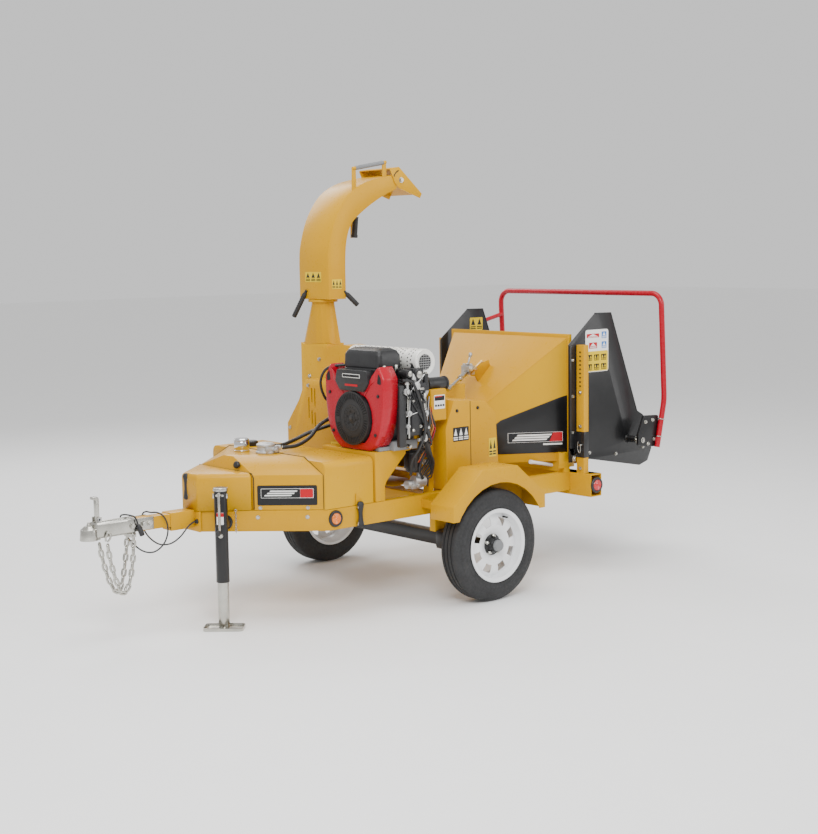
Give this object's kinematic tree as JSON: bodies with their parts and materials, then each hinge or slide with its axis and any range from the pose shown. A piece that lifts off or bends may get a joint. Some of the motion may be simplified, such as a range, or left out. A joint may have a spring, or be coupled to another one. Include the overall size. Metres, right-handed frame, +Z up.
{
  "type": "wood chipper",
  "caption": "Trailer-mounted wood chipper with a petrol engine, swivelling discharge chute, hydraulic feed hopper and folding feed table",
  "frame": {"origin": "on the ground, midway along and across the machine", "axes": "+Z up, +X to the rear where wood is fed in, +Y to the machine's right-hand side"},
  "size_m": [3.085, 1.396, 2.0653],
  "materials": {
    "yellow_paint": "glossy yellow enamel",
    "black_paint": "satin black",
    "red_paint": "glossy red",
    "white_paint": "glossy white",
    "zinc": "zinc plated",
    "steel": "bare steel",
    "cast": "painted casting",
    "muffler_steel": "heat-dulled plating",
    "rubber": "matte",
    "tyre_rubber": "matte",
    "black_plastic": "moulded black",
    "amber_lens": "clear amber",
    "red_lens": "clear red"
  },
  "bodies": {
    "chassis": {"air_cleaner": "black_plastic", "axle_beam": "black_paint", "battery": "black_plastic", "belt_guard": "yellow_paint", "control_box": "yellow_paint", "control_valve": "steel", "cord_grommet": "rubber", "coupler": "zinc", "cross_member_front": "yellow_paint", "drive_belt": "rubber", "engine_block": "cast", "engine_mount": "yellow_paint", "engine_shroud": "red_paint", "feed_box": "yellow_paint", "feed_hopper": "yellow_paint", "fender_left": "yellow_paint", "fender_right": "yellow_paint", "fuel_tank": "yellow_paint", "hopper_side_left": "yellow_paint", "hopper_side_right": "yellow_paint", "hydraulic_hose_far": "rubber", "hydraulic_hose_near": "rubber", "hydraulic_tank": "yellow_paint", "muffler": "muffler_steel", "rail_left": "yellow_paint", "rail_right": "yellow_paint", "rear_bumper": "yellow_paint", "return_filter": "steel", "rotor_housing": "yellow_paint", "rotor_stand": "yellow_paint", "safety_chains": "zinc", "side_guard": "yellow_paint", "side_marker_left": "amber_lens", "side_marker_right": "amber_lens", "tail_light_left": "red_lens", "tail_light_right": "red_lens", "tongue": "yellow_paint", "trailer_cord": "rubber", "trailer_plug": "rubber"},
    "wheel_left": {"tyre_left": "tyre_rubber", "rim_left": "white_paint"},
    "wheel_right": {"tyre_right": "tyre_rubber", "rim_right": "white_paint"},
    "coupler_latch": {"coupler_latch": "zinc"},
    "jack": {"jack_tube": "black_paint"},
    "jack_leg": {"jack_leg": "zinc"},
    "jack_crank": {"jack_crank": "zinc"},
    "battery_cover": {"battery_cover": "yellow_paint"},
    "hydraulic_cap": {"hydraulic_cap": "zinc"},
    "fuel_cap": {"fuel_cap": "black_plastic"},
    "rotor": {"rotor_disc": "steel"},
    "crankshaft": {"crankshaft": "steel", "fan_screen": "black_plastic"},
    "chute": {"chute_elbow": "yellow_paint"},
    "chute_deflector": {"chute_deflector": "yellow_paint"},
    "roller_arm": {"roller_arm": "steel"},
    "feed_roller": {"feed_roller": "steel"},
    "feed_table": {"feed_table": "black_paint"},
    "control_bar": {"control_bar": "red_paint"},
    "valve_lever": {"valve_lever": "steel"}
  },
  "joints": [
    {"name": "wheel_left_spin", "type": "hinge", "parent": "chassis", "child": "wheel_left", "pos_m": [0.213, -0.618, 0.2605], "axis": [0, 1, 0], "continuous": true},
    {"name": "wheel_right_spin", "type": "hinge", "parent": "chassis", "child": "wheel_right", "pos_m": [0.213, 0.618, 0.2605], "axis": [0, 1, 0], "continuous": true},
    {"name": "latch_lift", "type": "hinge", "parent": "chassis", "child": "coupler_latch", "pos_m": [-1.464, 0, 0.516], "axis": [0, 1, 0], "range_deg": [0, 80]},
    {"name": "jack_swivel", "type": "hinge", "parent": "chassis", "child": "jack", "pos_m": [-0.98736, -0.21486, 0.45], "axis": [-0.68, -0.7332, 0], "range_deg": [0, 90]},
    {"name": "jack_extend", "type": "slide", "parent": "jack", "child": "jack_leg", "axis": [0, 0, 1], "range_m": [0, 0.19]},
    {"name": "jack_crank_turn", "type": "hinge", "parent": "jack", "child": "jack_crank", "pos_m": [-1.01456, -0.24419, 0.595], "axis": [-0.68, -0.7332, 0], "range_deg": [0, 6850]},
    {"name": "battery_cover_lift", "type": "hinge", "parent": "chassis", "child": "battery_cover", "pos_m": [-0.821, 0, 0.662], "axis": [0, 1, 0], "range_deg": [0, 45]},
    {"name": "hydraulic_cap_turn", "type": "hinge", "parent": "chassis", "child": "hydraulic_cap", "pos_m": [-0.667, 0.085, 0.7165], "axis": [0, 0, 1], "range_deg": [0, 120]},
    {"name": "fuel_cap_turn", "type": "hinge", "parent": "chassis", "child": "fuel_cap", "pos_m": [-0.487, 0.27, 0.7065], "axis": [0, 0, 1], "range_deg": [0, 120]},
    {"name": "rotor_spin", "type": "hinge", "parent": "chassis", "child": "rotor", "pos_m": [0.048, 0.187, 0.82], "axis": [1, 0, 0], "continuous": true},
    {"name": "crankshaft_spin", "type": "hinge", "parent": "chassis", "child": "crankshaft", "pos_m": [-0.287, -0.301, 0.867], "axis": [1, 0, 0], "continuous": true},
    {"name": "chute_swivel", "type": "hinge", "parent": "chassis", "child": "chute", "pos_m": [0.0665, 0.4085, 1.378], "axis": [0, 0, 1], "continuous": true},
    {"name": "deflector_tilt", "type": "hinge", "parent": "chute", "child": "chute_deflector", "pos_m": [0.486, 0.4085, 1.967], "axis": [0, 1, 0], "range_deg": [-15, 15]},
    {"name": "roller_arm_lift", "type": "hinge", "parent": "chassis", "child": "roller_arm", "pos_m": [0.193, 0, 0.88], "axis": [0, -1, 0], "range_deg": [0, 15]},
    {"name": "feed_roller_spin", "type": "hinge", "parent": "roller_arm", "child": "feed_roller", "pos_m": [0.343, 0, 0.785], "axis": [0, 1, 0], "continuous": true},
    {"name": "feed_table_fold", "type": "hinge", "parent": "chassis", "child": "feed_table", "pos_m": [0.957, 0, 0.566], "axis": [0, -1, 0], "range_deg": [0, 50]},
    {"name": "control_bar_tilt", "type": "hinge", "parent": "feed_table", "child": "control_bar", "pos_m": [1.353, 0, 0.63], "axis": [0, 1, 0], "range_deg": [-12, 12]},
    {"name": "valve_lever_tilt", "type": "hinge", "parent": "chassis", "child": "valve_lever", "pos_m": [0.643, -0.03, 1.034], "axis": [0, 1, 0], "range_deg": [-15, 15]}
  ],
  "couplings": [
    {"joint": "jack_crank_turn", "follows": "jack_extend", "rad_per_m": 628},
    {"joint": "crankshaft_spin", "follows": "rotor_spin", "ratio": 1.8333},
    {"joint": "valve_lever_tilt", "follows": "control_bar_tilt", "ratio": 1}
  ]
}
